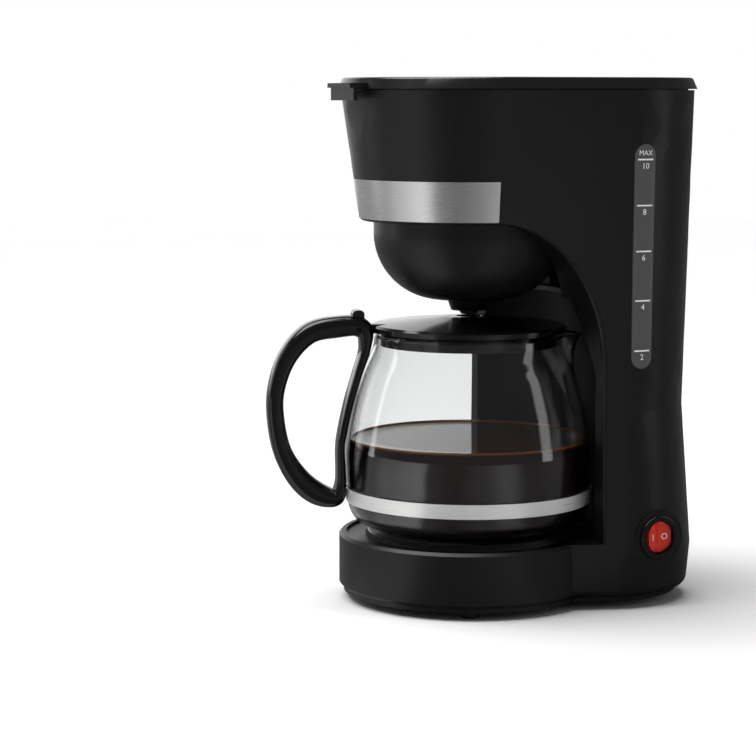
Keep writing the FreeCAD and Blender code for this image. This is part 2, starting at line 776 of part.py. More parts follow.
def switch_rocker():
    """Round red rocker: two faces that slope to a valley, turned to its resting side."""
    end = rocker_r - 0.6
    profile = [(-3.0, -end), (5.2, -end), (3.4, 0), (5.2, end), (-3.0, end)]
    corners = [V(rocker_pivot_x + x, switch_y + y, switch_z - rocker_r) for x, y in profile]
    block = Part.Face(Part.makePolygon(corners + [corners[0]])).extrude(V(0, 0, 2 * rocker_r))
    body = block.common(x_rod(rocker_r, 12, rocker_pivot_x - 4, switch_y, switch_z))
    pin = Part.makeCylinder(1.0, 2 * rocker_r + 0.8, V(rocker_pivot_x, switch_y, switch_z - rocker_r - 0.4))
    body = body.fuse(pin)
    body.rotate(V(rocker_pivot_x, switch_y, switch_z), Z_AXIS, rocker_tilt)
    return body


def cord_inlet_bushing():
    inlet = Part.makeCylinder(6.0, wall + 3, V(-40, base_back_y - 3.2, 24), Y_AXIS)
    flange = Part.makeCylinder(8.0, 1.5, V(-40, base_back_y + 1.6, 24), Y_AXIS)
    return inlet.fuse(flange).cut(Part.makeCylinder(3.6, 20, V(-40, base_back_y - 10, 24), Y_AXIS))


def terminal_block():
    block = box((-56, 76, base_low_z), (-30, 90, base_low_z + 13))
    for k in range(3):
        block = block.cut(Part.makeCylinder(2.2, 8, V(-52 + 9 * k, 83, base_low_z + 6)))
    return block


# ---- hot plate
def hot_plate():
    top = plate_top_z
    under = top - plate_thickness
    plate = turned([(0, under), (plate_r, under), (plate_r, top - 0.6), (plate_r - 0.6, top), (plate_r - 3,
            top),
                    (plate_r - 4, top - 0.5), (0, top - 0.5)])
    return plate


def hot_plate_seal():
    deck = base_deck_z - deck_recess
    return ring_band(plate_r + 1.0, plate_r - 6.0, deck, plate_top_z - plate_thickness - deck)


# ---- carafe
def glass_stations(inset):
    """Outer side of the glass from its foot to the neck, or its inner side when inset."""
    b = glass_bottom_z
    return [(50.5 - inset * 0.6, b + 1.2 + inset), (60.5 - inset, b + 4.5 + inset * 0.6), (65.6 - inset,
            b + 13.5),
            (66.9 - inset, b + 33), (67.0 - inset, b + 44), (65.5 - inset, b + 54), (62.4 - inset, b + 69),
            (57.6 - inset, b + 85), (52.2 - inset, b + 98), (neck_r - inset, neck_z)]


def glass_form(inset):
    low = glass_bottom_z + inset
    form = turned_curve(glass_stations(inset), [(0, neck_z), (0, low), (47.0, low)])
    spout = Part.makeCone(3.0 + inset * -0.5, spout_r - inset, 26.0, V(46.0, 0, neck_z - 26.0), V(0, 0, 1))
    tilt = FreeCAD.Matrix()
    tilt.A13 = (spout_reach - spout_r - 46.0) / 26.0
    tilt.A14 = -tilt.A13 * (neck_z - 26.0)
    spout = spout.transformGeometry(tilt)
    spout.rotate(ORIGIN, Z_AXIS, 90)
    return form, spout


def carafe_glass():
    outer, outer_spout = glass_form(0)
    inner, inner_spout = glass_form(glass_wall)
    return outer.fuse(outer_spout).cut(inner).cut(inner_spout)


def carafe_band():
    low = steel_band_low_z
    high = low + steel_band_height
    ring = Part.makeCylinder(66.95 + steel_band_thickness, steel_band_height, V(0, 0, low))
    core = turned_curve(glass_stations(-0.06), [(0, neck_z), (0, glass_bottom_z), (47.0, glass_bottom_z)])
    skin = turned_curve(glass_stations(-0.06 - steel_band_thickness),
                        [(0, neck_z), (0, glass_bottom_z - 1), (47.0, glass_bottom_z - 1)])
    return ring.common(skin).cut(core)


def in_handle_plane(u, z):
    """A point in the handle's middle plane, u outwards from the carafe's axis (towards -Y)."""
    return V(0, -u, z)


def spline_loop(points):
    curve = Part.BSplineCurve()
    curve.interpolate([in_handle_plane(u, z) for u, z in points])
    return curve.toShape()


def carafe_handle():
    """D-shaped handle, a leg that follows the glass, and two ears that hold the lid's pin."""
    outer = [(59.0, 153.5), (72.0, 154.4), (88.0, 150.0), (101.0, 137.0), (108.8, 119.0), (handle_reach,
            103.0),
             (107.0, 84.0), (99.5, 66.0), (88.0, 53.0), (80.0, 50.5), (69.0, 50.5)]
    leg_in = [(67.9, 50.5), (68.1, 62.0), (68.2, 82.0), (66.7, 92.5), (63.4, 107.5), (58.6, 123.5), (53.4,
            136.5),
              (52.4, 143.0)]
    wire = [spline_loop(outer), Part.makeLine(in_handle_plane(*outer[-1]), in_handle_plane(*leg_in[0])),
            spline_loop(leg_in), Part.makeLine(in_handle_plane(*leg_in[-1]), in_handle_plane(*outer[0]))]
    blank = Part.Face(Part.Wire(wire))
    hole_points = [(60.2, 139.0), (74.0, 142.5), (87.0, 139.5), (96.5, 128.0), (100.8, 112.0), (101.0, 97.0),
                   (97.0, 80.0), (89.0, 69.0), (80.0, 65.5), (73.2, 66.0), (72.8, 82.0), (71.3, 93.5),
                   (67.8, 109.0), (63.2, 124.0)]
    hole_curve = Part.BSplineCurve()
    hole_curve.interpolate([in_handle_plane(u, z) for u, z in hole_points], True)
    hole = Part.Face(Part.Wire([hole_curve.toShape()]))
    half = handle_width / 2
    handle = blank.extrude(V(half * 2, 0, 0)).cut(hole.extrude(V(half * 2, 0, 0)))
    handle.translate(V(-half, 0, 0))
    pocket_half = half - lid_ear_width + 0.3
    pocket = box((-pocket_half, -lid_pin_u - 6.5, lid_pin_z - 6.0), (pocket_half, -40, lid_pin_z + 20))
    handle = handle.cut(pocket)
    handle = handle.cut(x_rod(lid_pin_r, handle_width + 2, -half - 1, -lid_pin_u, lid_pin_z))
    return handle.removeSplitter()


def carafe_lid():
    disc = turned([(0, neck_z + 2.2), (12, neck_z + 2.2), (12, neck_z + 0.6), (carafe_lid_r - 4,
            neck_z + 0.6),
                   (carafe_lid_r, neck_z + 1.6), (carafe_lid_r, neck_z + 4.2), (carafe_lid_r - 1.5,
                           neck_z + 5.4),
                   (20, carafe_lid_top_z - 1.0), (12, carafe_lid_top_z), (7, carafe_lid_top_z), (4.5,
                           carafe_lid_top_z - 3),
                   (0, carafe_lid_top_z - 3)])
    skirt = ring_band(neck_r - glass_wall - 1.2, neck_r - glass_wall - 3.0, neck_z - 6, 7.0)
    disc = disc.fuse(skirt)
    disc = disc.cut(ring_band(3.0, 0, neck_z, 12))
    half = handle_width / 2 - lid_ear_width
    arm = box((-half, -lid_pin_u, neck_z + 1.0), (half, -44, neck_z + 6.0))
    barrel = x_rod(4.2, 2 * half, -half, -lid_pin_u, lid_pin_z)
    lever = box((-half, -lid_pin_u - 3.0, lid_pin_z), (half, -lid_pin_u + 3.5, 157.6))
    lever_top = [e for e in lever.Edges if e.BoundBox.ZMin > 157.5 and e.BoundBox.YLength < 0.01]
    lever = lever.makeFillet(2.4, lever_top)
    lid = disc.fuse(arm).fuse(barrel).fuse(lever)
    return lid.cut(x_rod(lid_pin_r + running_fit, 2 * half, -half, -lid_pin_u, lid_pin_z)).removeSplitter()


def lid_hinge_pin():
    return x_rod(lid_pin_r, handle_width, -handle_width / 2, -lid_pin_u, lid_pin_z)


# ---- everything in its place
for maker in (lower_housing, bottom_cover, rubber_feet, bottom_screws, upper_housing, top_lid, lid_hinge_pins,
              shower_channel, brew_bowl, filter_basket, mesh_filter, basket_handle, valve_plunger, valve_seal,
              valve_spring, water_tank, heating_element, element_clamp, thermostat, thermal_fuses,
                      check_valve,
              tank_hose, inlet_hose, riser_tube, riser_nozzle, hose_clamps, level_window, level_marks,
              switch_bezel, switch_body, switch_rocker, cord_inlet_bushing, terminal_block, hot_plate,
              hot_plate_seal):
    parts[maker.__name__] = maker()
parts["trim_band"] = trim_ring(trim_thickness, band_height, trim_half_angle)

for maker in (carafe_glass, carafe_band, carafe_handle, carafe_lid, lid_hinge_pin):
    shape = maker()
    shape.rotate(ORIGIN, Z_AXIS, -carafe_turn)
    parts[maker.__name__] = shape

whole = FreeCAD.BoundBox()
for shape in parts.values():
    whole.add(shape.optimalBoundingBox(False, False))
shift = V(-whole.Center.x, -whole.Center.y, 0)
os.makedirs("parts", exist_ok=True)
for name, shape in parts.items():
    shape.translate(shift)
    shape.exportStep("parts/" + name + ".step")
print("carafe axis at", round(shift.x, 3), round(shift.y, 3))
print("overall", round(whole.XLength, 1), round(whole.YLength, 1), round(whole.ZMax, 1))
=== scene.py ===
import json
import math

import bmesh
import bpy
import numpy as np
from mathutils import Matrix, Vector

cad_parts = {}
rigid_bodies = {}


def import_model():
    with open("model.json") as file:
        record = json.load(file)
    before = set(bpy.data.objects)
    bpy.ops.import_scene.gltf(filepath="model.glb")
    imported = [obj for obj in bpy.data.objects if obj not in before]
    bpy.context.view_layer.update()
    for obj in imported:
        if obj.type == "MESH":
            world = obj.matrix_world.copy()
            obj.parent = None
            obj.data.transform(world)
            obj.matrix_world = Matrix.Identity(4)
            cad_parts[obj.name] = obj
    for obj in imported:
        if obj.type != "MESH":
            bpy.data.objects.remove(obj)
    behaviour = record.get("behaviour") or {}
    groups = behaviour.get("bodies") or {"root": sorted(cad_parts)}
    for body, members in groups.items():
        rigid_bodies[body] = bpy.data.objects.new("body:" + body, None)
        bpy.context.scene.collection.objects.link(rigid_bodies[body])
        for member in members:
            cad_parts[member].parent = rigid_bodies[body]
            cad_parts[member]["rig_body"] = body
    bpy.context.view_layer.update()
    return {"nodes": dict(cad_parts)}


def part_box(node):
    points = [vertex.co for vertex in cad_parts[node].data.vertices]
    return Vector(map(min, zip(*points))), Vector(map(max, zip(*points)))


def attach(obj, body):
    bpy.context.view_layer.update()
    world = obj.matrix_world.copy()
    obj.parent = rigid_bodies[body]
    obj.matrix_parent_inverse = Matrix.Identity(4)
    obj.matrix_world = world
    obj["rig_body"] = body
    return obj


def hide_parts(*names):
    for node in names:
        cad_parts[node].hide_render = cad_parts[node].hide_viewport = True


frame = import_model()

# ---------------------------------------------------------------- view, floor and light
# A long lens a little above the machine's head, turned to its right front side.
# The floor is a pale sheet and the light comes from soft boxes, as in a plain studio.
plate_low, plate_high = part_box("hot_plate")
axis = Vector(((plate_low.x + plate_high.x) / 2, (plate_low.y + plate_high.y) / 2, 0))
view_turn = math.radians(60.0)
view_side = math.radians(2.24)
view_down = math.radians(6.91)
view_distance = 1.259
eye_height = 0.272

camera_data = bpy.data.cameras.new("view")
camera_data.sensor_width = 36.0
camera_data.lens = 110.9
camera = bpy.data.objects.new("view", camera_data)
bpy.context.scene.collection.objects.link(camera)
camera.location = axis + Vector((math.sin(view_turn), -math.cos(view_turn), 0)) * view_distance
camera.location.z = eye_height
camera.rotation_euler = (math.pi / 2 - view_down, 0, view_turn + view_side)
bpy.context.scene.camera = camera
bpy.context.scene.view_settings.view_transform = "Standard"


def node_material(name):
    """A new material, its node tree and its shader."""
    material = bpy.data.materials.new(name)
    material.use_nodes = True
    tree = material.node_tree
    return material, tree, tree.nodes["Principled BSDF"]


def set_values(shader, **values):
    """Sets a shader's own sockets; an underscore stands for a space in a socket's name."""
    for key, value in values.items():
        shader.inputs[key.replace("_", " ")].default_value = value


floor_half = 3.0
floor_white = (0.95, 0.95, 0.95, 1)
floor_painted_dim = (0.2, 0.2, 0.2, 1)
floor_mesh = bpy.data.meshes.new("floor")
floor_mesh.from_pydata([(-floor_half, -floor_half, 0), (floor_half, -floor_half, 0),
                        (floor_half, floor_half, 0), (-floor_half, floor_half, 0)], [], [(0, 1, 2, 3)])
floor = bpy.data.objects.new("floor", floor_mesh)
bpy.context.scene.collection.objects.link(floor)
floor_paint, _, floor_shader = node_material("floor_paint")
set_values(floor_shader, Base_Color=floor_white, Roughness=0.9, Specular_IOR_Level=0.1)
floor_nodes, floor_links = floor_paint.node_tree.nodes, floor_paint.node_tree.links
# Painted reflection: in a mirrored view the floor's colour is painted dim, with painted bright bands by
# direction round the machine's axis that stand in for soft box light; seen straight on, it stays evenly
# white.
floor_ray = floor_nodes.new("ShaderNodeLightPath")
mirrored = floor_nodes.new("ShaderNodeMath")
mirrored.operation = "MINIMUM"
mirrored.inputs[1].default_value = 1.0
floor_links.new(floor_ray.outputs["Glossy Depth"], mirrored.inputs[0])
floor_place = floor_nodes.new("ShaderNodeTexCoord")
floor_shift = floor_nodes.new("ShaderNodeMapping")
floor_shift.inputs["Location"].default_value = (-axis.x, -axis.y, 0)
floor_split = floor_nodes.new("ShaderNodeSeparateXYZ")
floor_turn = floor_nodes.new("ShaderNodeMath")
floor_turn.operation = "ARCTAN2"
painted_lit_bands = floor_nodes.new("ShaderNodeValToRGB")
painted_lit_bands.color_ramp.interpolation = "EASE"
painted_band_turn = floor_nodes.new("ShaderNodeMapRange")
painted_band_turn.inputs["From Min"].default_value = math.radians(-180)
painted_band_turn.inputs["From Max"].default_value = math.radians(180)
floor_links.new(floor_place.outputs["Object"], floor_shift.inputs["Vector"])
floor_links.new(floor_shift.outputs["Vector"], floor_split.inputs[0])
floor_links.new(floor_split.outputs["Y"], floor_turn.inputs[0])
floor_links.new(floor_split.outputs["X"], floor_turn.inputs[1])
floor_links.new(floor_turn.outputs[0], painted_band_turn.inputs["Value"])
floor_links.new(painted_band_turn.outputs["Result"], painted_lit_bands.inputs["Fac"])
# Painted light: the brighter stops are painted bands of reflected soft box light, and the darker ones
# painted shade between them.
for turn, tone in ((-175, 0.20), (-125, 0.2), (-105, 0.5), (-72, 0.85), (-63, 0.16), (-40, 0.10),
                   (-18, 0.20), (5, 0.42), (25, 0.12)):
    stop = painted_lit_bands.color_ramp.elements.new((turn + 180) / 360)
    stop.color = (tone, tone, tone, 1)
painted_lit_bands.color_ramp.elements[0].color = floor_painted_dim
painted_lit_bands.color_ramp.elements[-1].color = floor_painted_dim
floor_tone = floor_nodes.new("ShaderNodeMix")
floor_tone.data_type = "RGBA"
floor_tone.inputs[6].default_value = floor_white
floor_links.new(mirrored.outputs[0], floor_tone.inputs[0])
floor_links.new(painted_lit_bands.outputs["Color"], floor_tone.inputs[7])
floor_links.new(floor_tone.outputs[2], floor_shader.inputs["Base Color"])
floor_mesh.materials.append(floor_paint)

world = bpy.data.worlds.new("studio")
bpy.context.scene.world = world
world.use_nodes = True
sky = world.node_tree
sky_light = sky.nodes["Background"]
sky_light.inputs["Strength"].default_value = 1.0
ray_kind = sky.nodes.new("ShaderNodeLightPath")
mirrored_once = sky.nodes.new("ShaderNodeMath")
mirrored_once.operation = "MINIMUM"
mirrored_once.inputs[1].default_value = 1.0
through_glass = sky.nodes.new("ShaderNodeMath")
through_glass.operation = "SUBTRACT"
through_glass.use_clamp = True
seen = sky.nodes.new("ShaderNodeMath")
seen.operation = "MAXIMUM"
sky.links.new(ray_kind.outputs["Glossy Depth"], mirrored_once.inputs[0])
sky.links.new(ray_kind.outputs["Is Transmission Ray"], through_glass.inputs[0])
sky.links.new(mirrored_once.outputs[0], through_glass.inputs[1])
sky.links.new(ray_kind.outputs["Is Camera Ray"], seen.inputs[0])
sky.links.new(through_glass.outputs[0], seen.inputs[1])
heading = sky.nodes.new("ShaderNodeTexCoord")
backward = sky.nodes.new("ShaderNodeVectorMath")
backward.operation = "DOT_PRODUCT"
backdrop_turn = view_turn + math.radians(26)
backward.inputs[1].default_value = (-math.sin(backdrop_turn), math.cos(backdrop_turn), 0)
sky.links.new(heading.outputs["Generated"], backward.inputs[0])
backdrop = sky.nodes.new("ShaderNodeMapRange")
backdrop.inputs["From Min"].default_value = 0.80
backdrop.inputs["From Max"].default_value = 0.93
backdrop.inputs["To Min"].default_value = 0.14
backdrop.inputs["To Max"].default_value = 1.2
sky.links.new(backward.outputs["Value"], backdrop.inputs["Value"])
sky_mix = sky.nodes.new("ShaderNodeMix")
sky_mix.data_type = "RGBA"
sky_mix.inputs[7].default_value = (1.0, 1.0, 1.0, 1)
sky.links.new(seen.outputs[0], sky_mix.inputs[0])
sky.links.new(backdrop.outputs["Result"], sky_mix.inputs[6])
sky.links.new(sky_mix.outputs[2], sky_light.inputs["Color"])


def soft_box(name, place, aim, width, height, power):
    """A rectangular lamp at a place, turned towards a point."""
    lamp = bpy.data.lights.new(name, "AREA")
    lamp.shape = "RECTANGLE"
    lamp.size = width
    lamp.size_y = height
    lamp.energy = power
    holder = bpy.data.objects.new(name, lamp)
    bpy.context.scene.collection.objects.link(holder)
    holder.location = place
    holder.rotation_euler = (Vector(aim) - Vector(place)).to_track_quat("-Z", "Y").to_euler()
    return holder


soft_box("top_box", (-0.3, -0.5, 1.5), (0, 0, 0.1), 0.9, 0.9, 6.0)
soft_box("front_box", (-1.0, -1.1, 0.45), (0, 0, 0.15), 0.3, 1.0, 1.8)
soft_box("side_box", (1.0, 1.1, 0.45), (0, 0, 0.15), 0.3, 1.0, 1.5)
overhead = bpy.data.lights.new("overhead", "SUN")
overhead.energy = 2.9
overhead.angle = math.radians(60)
overhead_holder = bpy.data.objects.new("overhead", overhead)
bpy.context.scene.collection.objects.link(overhead_holder)
overhead_holder.rotation_euler = (math.radians(14), math.radians(-10), 0)

# ---------------------------------------------------------------- moulded black housings
# The base, the column and the head are injection moulded in black plastic with a fine satin grain.
# They meet at the waist in a thin shadow line. The grain and the faint unevenness are one shared effect.


def moulding_grain():
    """Node group: fine grain as a normal, and a roughness that drifts a little over the surface."""
    group = bpy.data.node_groups.new("moulding_grain", "ShaderNodeTree")
    face = group.interface
    scale = face.new_socket("Grain Scale", in_out="INPUT", socket_type="NodeSocketFloat")
    depth = face.new_socket("Grain Depth", in_out="INPUT", socket_type="NodeSocketFloat")
    rough = face.new_socket("Roughness", in_out="INPUT", socket_type="NodeSocketFloat")
    drift = face.new_socket("Drift", in_out="INPUT", socket_type="NodeSocketFloat")
    scale.default_value = 1500.0
    depth.default_value = 0.1
    rough.default_value = 0.45
    drift.default_value = 0.08
    face.new_socket("Roughness", in_out="OUTPUT", socket_type="NodeSocketFloat")
    face.new_socket("Normal", in_out="OUTPUT", socket_type="NodeSocketVector")
    nodes, links = group.nodes, group.links
    given = nodes.new("NodeGroupInput")
    made = nodes.new("NodeGroupOutput")
    place = nodes.new("ShaderNodeTexCoord")
    grain = nodes.new("ShaderNodeTexNoise")
    grain.inputs["Detail"].default_value = 3.0
    bump = nodes.new("ShaderNodeBump")
    bump.inputs["Distance"].default_value = 0.0002
    cloud = nodes.new("ShaderNodeTexNoise")
    cloud.inputs["Scale"].default_value = 22.0
    cloud.inputs["Detail"].default_value = 4.0
    centred = nodes.new("ShaderNodeMath")
    centred.operation = "SUBTRACT"
    centred.inputs[1].default_value = 0.5
    spread = nodes.new("ShaderNodeMath")
    spread.operation = "MULTIPLY"
    total = nodes.new("ShaderNodeMath")
    total.operation = "ADD"
    links.new(place.outputs["Object"], grain.inputs["Vector"])
    links.new(place.outputs["Object"], cloud.inputs["Vector"])
    links.new(given.outputs["Grain Scale"], grain.inputs["Scale"])
    links.new(given.outputs["Grain Depth"], bump.inputs["Strength"])
    links.new(grain.outputs["Fac"], bump.inputs["Height"])
    links.new(cloud.outputs["Fac"], centred.inputs[0])
    links.new(centred.outputs[0], spread.inputs[0])
    links.new(given.outputs["Drift"], spread.inputs[1])
    links.new(spread.outputs[0], total.inputs[0])
    links.new(given.outputs["Roughness"], total.inputs[1])
    links.new(total.outputs[0], made.inputs["Roughness"])
    links.new(bump.outputs["Normal"], made.inputs["Normal"])
    return group


grain_group = moulding_grain()


def moulded(name, colour, rough, grain=0.12, scale=1500.0, drift=0.08, **extra):
    """A moulded plastic or rubber: one colour, the shared grain, and any extra shader values."""
    material, tree, shader = node_material(name)
    effect = tree.nodes.new("ShaderNodeGroup")
    effect.node_tree = grain_group
    set_values(effect, Grain_Scale=scale, Grain_Depth=grain, Roughness=rough, Drift=drift)
    tree.links.new(effect.outputs["Roughness"], shader.inputs["Roughness"])
    tree.links.new(effect.outputs["Normal"], shader.inputs["Normal"])
    set_values(shader, Base_Color=(*colour, 1), **extra)
    return material


def dressed(node, material, sharp=32.0):
    """A merged copy of a made part, smooth up to the sharp angle, that stands for it."""
    source = frame["nodes"][node]
    mesh = bpy.data.meshes.new(node + "_skin")
    work = bmesh.new()
    work.from_mesh(source.data)
    bmesh.ops.remove_doubles(work, verts=work.verts, dist=1e-6)
    limit = math.radians(sharp)
    for edge in work.edges:
        edge.smooth = len(edge.link_faces) == 2 and edge.calc_face_angle(0.0) < limit
    for face in work.faces:
        face.smooth = True
    work.to_mesh(mesh)
    work.free()
    mesh.materials.clear()
    mesh.materials.append(material)
    piece = bpy.data.objects.new(node + "_skin", mesh)
    bpy.context.scene.collection.objects.link(piece)
    weight = piece.modifiers.new("normals", "WEIGHTED_NORMAL")
    weight.keep_sharp = True
    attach(piece, source["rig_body"])
    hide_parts(node)
    return piece


satin_black = moulded("satin_black", (0.0062, 0.0062, 0.0066), 0.36, grain=0.16, Specular_IOR_Level=0.34)
for shell in ("lower_housing", "upper_housing", "brew_bowl", "bottom_cover"):
    dressed(shell, satin_black)


def paint(node, material):
    """Gives a made part, as it is, a finished material."""
    for place in frame["nodes"][node].material_slots:
        place.material = material


# ---------------------------------------------------------------- feet and screws
# Four soft rubber pads are pressed under the cover, and zinc plated screws hold it.
soft_rubber = moulded("soft_rubber", (0.018, 0.018, 0.018), 0.7, grain=0.3, scale=900.0)
zinc = moulded("zinc_plate", (0.55, 0.56, 0.58), 0.34, grain=0.08, Metallic=1.0)
dressed("rubber_feet", soft_rubber)
paint("bottom_screws", zinc)

# ---------------------------------------------------------------- warming plate
# A pressed steel disc with a dark non-stick coat sits in a silicone ring in the base.
plate_coat = moulded("plate_coat", (0.035, 0.035, 0.036), 0.3, grain=0.25, scale=700.0, Coat_Weight=0.25,
                     Coat_Roughness=0.2)
grey_silicone = moulded("grey_silicone", (0.05, 0.05, 0.052), 0.6, grain=0.15, scale=800.0)
dressed("hot_plate", plate_coat)
dressed("hot_plate_seal", grey_silicone)

# ---------------------------------------------------------------- heater under the plate
# A cast aluminium tube element is clamped under the plate, with a thermostat and two fuses
# in white glass sleeves.
cast_metal = moulded("cast_metal", (0.62, 0.63, 0.65), 0.5, grain=0.5, scale=500.0, Metallic=1.0)
white_sleeve = moulded("white_sleeve", (0.75, 0.74, 0.70), 0.65, grain=0.5, scale=1200.0)
for part, finish in (("heating_element", cast_metal), ("element_clamp", zinc), ("thermostat", zinc),
                     ("thermal_fuses", white_sleeve), ("terminal_block", white_sleeve)):
    paint(part, finish)

# ---------------------------------------------------------------- hoses and riser
# Milky silicone hoses carry water from the tank to the heater and up to the shower arm.
# Small sprung wire clamps hold them.
milky_silicone = moulded("milky_silicone", (0.62, 0.62, 0.60), 0.42, grain=0.1, scale=600.0,
                         Subsurface_Weight=0.3, Subsurface_Scale=0.003)
for part, finish in (("tank_hose", milky_silicone), ("inlet_hose", milky_silicone),
                     ("riser_tube", milky_silicone), ("check_valve", white_sleeve), ("hose_clamps", zinc)):
    paint(part, finish)

# ---------------------------------------------------------------- tank and nozzle
# The tank is a plain moulding in dark plastic, smoother than the outside shells.
inner_black = moulded("inner_black", (0.016, 0.016, 0.017), 0.36, grain=0.08, scale=900.0,
                      Specular_IOR_Level=0.4)
dressed("water_tank", inner_black)
dressed("riser_nozzle", inner_black)
paint("cord_inlet_bushing", soft_rubber)

# ---------------------------------------------------------------- switch
# A round black bezel snaps into the pad on the column's side.
# The rocker in it is glossy translucent red, with I and O printed white.
gloss_black = moulded("gloss_black", (0.0035, 0.0035, 0.0038), 0.11, grain=0.02, scale=400.0, drift=0.05)
dressed("switch_bezel", gloss_black)
paint("switch_body", gloss_black)
lamp_red = moulded("lamp_red", (0.72, 0.03, 0.01), 0.14, grain=0.02, scale=500.0, drift=0.04,
                   Subsurface_Weight=0.25, Subsurface_Scale=0.004, Coat_Weight=0.6, Coat_Roughness=0.08)
dressed("switch_rocker", lamp_red, sharp=8.0)
ink_thickness = 0.00012
print_white = moulded("print_white", (0.86, 0.86, 0.85), 0.5, grain=0.1, scale=1500.0)


def printed(name, words, size, middle_y, middle_z, on_node):
    """Flat lettering that reads along +Y, laid on a made part from its +X side.
    It is lifted by an ink's thickness."""
    face = frame["nodes"][on_node]
    clear_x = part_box(on_node)[1].x + 0.01
    line = bpy.data.curves.new(name, "FONT")
    line.body = words
    line.size = size
    line.align_x = "CENTER"
    line.align_y = "CENTER"
    line.resolution_u = 3
    raw = bpy.data.objects.new(name + "_raw", line)
    bpy.context.scene.collection.objects.link(raw)
    bpy.context.view_layer.update()
    mesh = bpy.data.meshes.new_from_object(raw.evaluated_get(bpy.context.evaluated_depsgraph_get()))
    bpy.data.objects.remove(raw)
    flat = np.empty(len(mesh.vertices) * 3)
    mesh.vertices.foreach_get("co", flat)
    flat = flat.reshape(-1, 3)
    placed = np.column_stack([np.full(len(flat), clear_x), flat[:, 0] + middle_y, flat[:, 1] + middle_z])
    mesh.vertices.foreach_set("co", placed.ravel())
    mesh.name = name
    mesh.materials.clear()
    mesh.materials.append(print_white)
    piece = bpy.data.objects.new(name, mesh)
    bpy.context.scene.collection.objects.link(piece)
    lay = piece.modifiers.new("lay", "SHRINKWRAP")
    lay.target = face
    lay.wrap_method = "PROJECT"
    lay.use_project_x = True
    lay.use_project_y = False
    lay.use_project_z = False
    lay.use_negative_direction = True
    lay.use_positive_direction = False
    lay.offset = ink_thickness
    bpy.context.view_layer.update()
    laid = bpy.data.meshes.new_from_object(piece.evaluated_get(bpy.context.evaluated_depsgraph_get()))
    piece.modifiers.clear()
    piece.data = laid
    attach(piece, face["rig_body"])
    return piece


rocker_low, rocker_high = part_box("switch_rocker")
rocker_y = (rocker_low.y + rocker_high.y) / 2
rocker_z = (rocker_low.z + rocker_high.z) / 2
mark_size = 0.0048
mark_reach = 0.0040
printed("switch_on_mark", "I", mark_size, rocker_y - mark_reach, rocker_z, "switch_rocker")
printed("switch_off_mark", "O", mark_size, rocker_y + mark_reach, rocker_z, "switch_rocker")

# ---------------------------------------------------------------- level window
# A clear grey strip is welded into the column's side, so the tank's water level shows.
# Its raised lines and its numbers are printed white.
window_grey = moulded("window_grey", (0.085, 0.085, 0.088), 0.22, grain=0.02, scale=500.0, drift=0.1,
                      Coat_Weight=0.3, Coat_Roughness=0.1)
dressed("level_window", window_grey)
paint("level_marks", print_white)
window_low, window_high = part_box("level_window")
marks_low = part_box("level_marks")[0]
window_y = (window_low.y + window_high.y) / 2
lowest_line = marks_low.z + 0.0004
line_steps = (0.0, 0.0265, 0.0525, 0.0765, 0.1005)
number_size, number_drop = 0.0044, 0.0035
max_size, max_rise = 0.0037, 0.0033
for number, step in zip(("2", "4", "6", "8", "10"), line_steps):
    number_z = lowest_line + step - number_drop
    printed("level_" + number, number, number_size, window_y, number_z, "level_window")
max_z = lowest_line + line_steps[-1] + max_rise
printed("level_max", "MAX", max_size, window_y, max_z, "level_window")

# ---------------------------------------------------------------- trim band
# A thin brushed steel band is bent round the head's front and held by tabs behind it.
# The brushing runs along the band, as fine streaks.


def brushed_streaks():
    """Node group: fine streaks round the upright axis, as a roughness and a normal."""
    group = bpy.data.node_groups.new("brushed_streaks", "ShaderNodeTree")
    face = group.interface
    fine = face.new_socket("Fineness", in_out="INPUT", socket_type="NodeSocketFloat")
    rough = face.new_socket("Roughness", in_out="INPUT", socket_type="NodeSocketFloat")
    depth = face.new_socket("Depth", in_out="INPUT", socket_type="NodeSocketFloat")
    fine.default_value = 1.0
    rough.default_value = 0.25
    depth.default_value = 0.15
    face.new_socket("Roughness", in_out="OUTPUT", socket_type="NodeSocketFloat")
    face.new_socket("Normal", in_out="OUTPUT", socket_type="NodeSocketVector")
    nodes, links = group.nodes, group.links
    given = nodes.new("NodeGroupInput")
    made = nodes.new("NodeGroupOutput")
    place = nodes.new("ShaderNodeTexCoord")
    stretch = nodes.new("ShaderNodeMapping")
    stretch.inputs["Scale"].default_value = (30.0, 30.0, 5200.0)
    streak = nodes.new("ShaderNodeTexNoise")
    streak.inputs["Detail"].default_value = 3.0
    bump = nodes.new("ShaderNodeBump")
    bump.inputs["Distance"].default_value = 0.0001
    spread = nodes.new("ShaderNodeMath")
    spread.operation = "MULTIPLY_ADD"
    spread.inputs[1].default_value = 0.16
    links.new(place.outputs["Object"], stretch.inputs["Vector"])
    links.new(stretch.outputs["Vector"], streak.inputs["Vector"])
    links.new(given.outputs["Fineness"], streak.inputs["Scale"])
    links.new(streak.outputs["Fac"], spread.inputs[0])
    links.new(given.outputs["Roughness"], spread.inputs[2])
    links.new(given.outputs["Depth"], bump.inputs["Strength"])
    links.new(streak.outputs["Fac"], bump.inputs["Height"])
    links.new(spread.outputs[0], made.inputs["Roughness"])
    links.new(bump.outputs["Normal"], made.inputs["Normal"])
    return group


streak_group = brushed_streaks()


def brushed(name, colour, rough, depth, metal):
    """A brushed metal with the shared streaks."""
    material, tree, shader = node_material(name)
    effect = tree.nodes.new("ShaderNodeGroup")
    effect.node_tree = streak_group
    set_values(effect, Roughness=rough, Depth=depth)
    tree.links.new(effect.outputs["Roughness"], shader.inputs["Roughness"])
    tree.links.new(effect.outputs["Normal"], shader.inputs["Normal"])
    set_values(shader, Base_Color=(*colour, 1), Metallic=metal)
    return material


brushed_steel = brushed("brushed_steel", (0.66, 0.66, 0.66), 0.17, 0.2, 0.9)
dressed("trim_band", brushed_steel)

